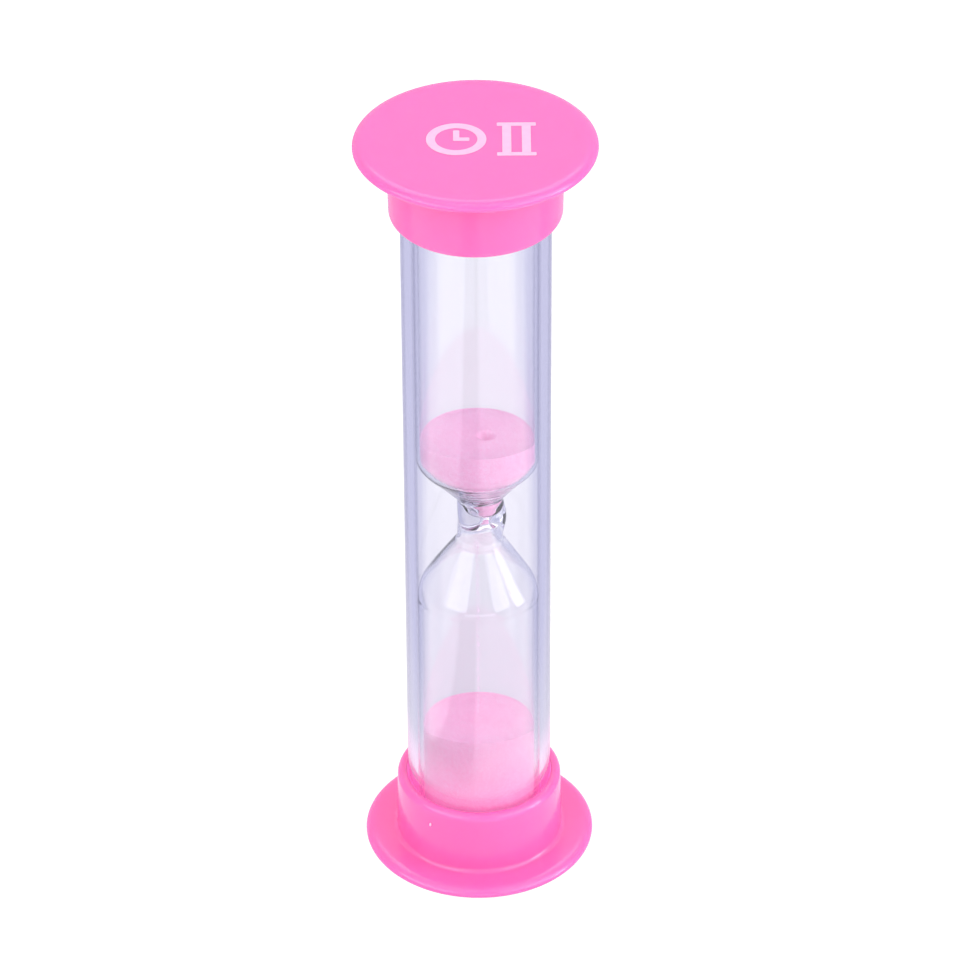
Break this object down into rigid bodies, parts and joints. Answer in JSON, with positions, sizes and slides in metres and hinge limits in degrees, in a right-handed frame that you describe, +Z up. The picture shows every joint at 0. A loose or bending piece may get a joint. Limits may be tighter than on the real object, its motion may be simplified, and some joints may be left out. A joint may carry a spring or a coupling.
{
  "type": "hourglass sand timer",
  "caption": "Slim sand timer: a sealed two-bulb glass vial of pink sand in a clear tube, held between two round pink flanged end caps.",
  "frame": {"origin": "centre of the bottom cap's end face, which the timer stands on", "axes": "+Z up along the tube's axis, towards the top cap; -Y faces the viewer, so that the sand's higher side and the print's lower edge face -Y"},
  "size_m": [0.0252, 0.0252, 0.09],
  "materials": {
    "cap_plastic": "satin",
    "clear_tube": "polished",
    "vial_glass": "polished",
    "pink_sand": "matte",
    "white_foam": "matte",
    "print_ink": "satin"
  },
  "bodies": {
    "root": {"bottom_cap": "cap_plastic", "lower_cushion": "white_foam", "outer_tube": "clear_tube", "glass_vial": "vial_glass", "lower_sand": "pink_sand", "sand_stream": "pink_sand", "upper_sand": "pink_sand", "upper_cushion": "white_foam", "top_cap": "cap_plastic"}
  },
  "joints": []
}
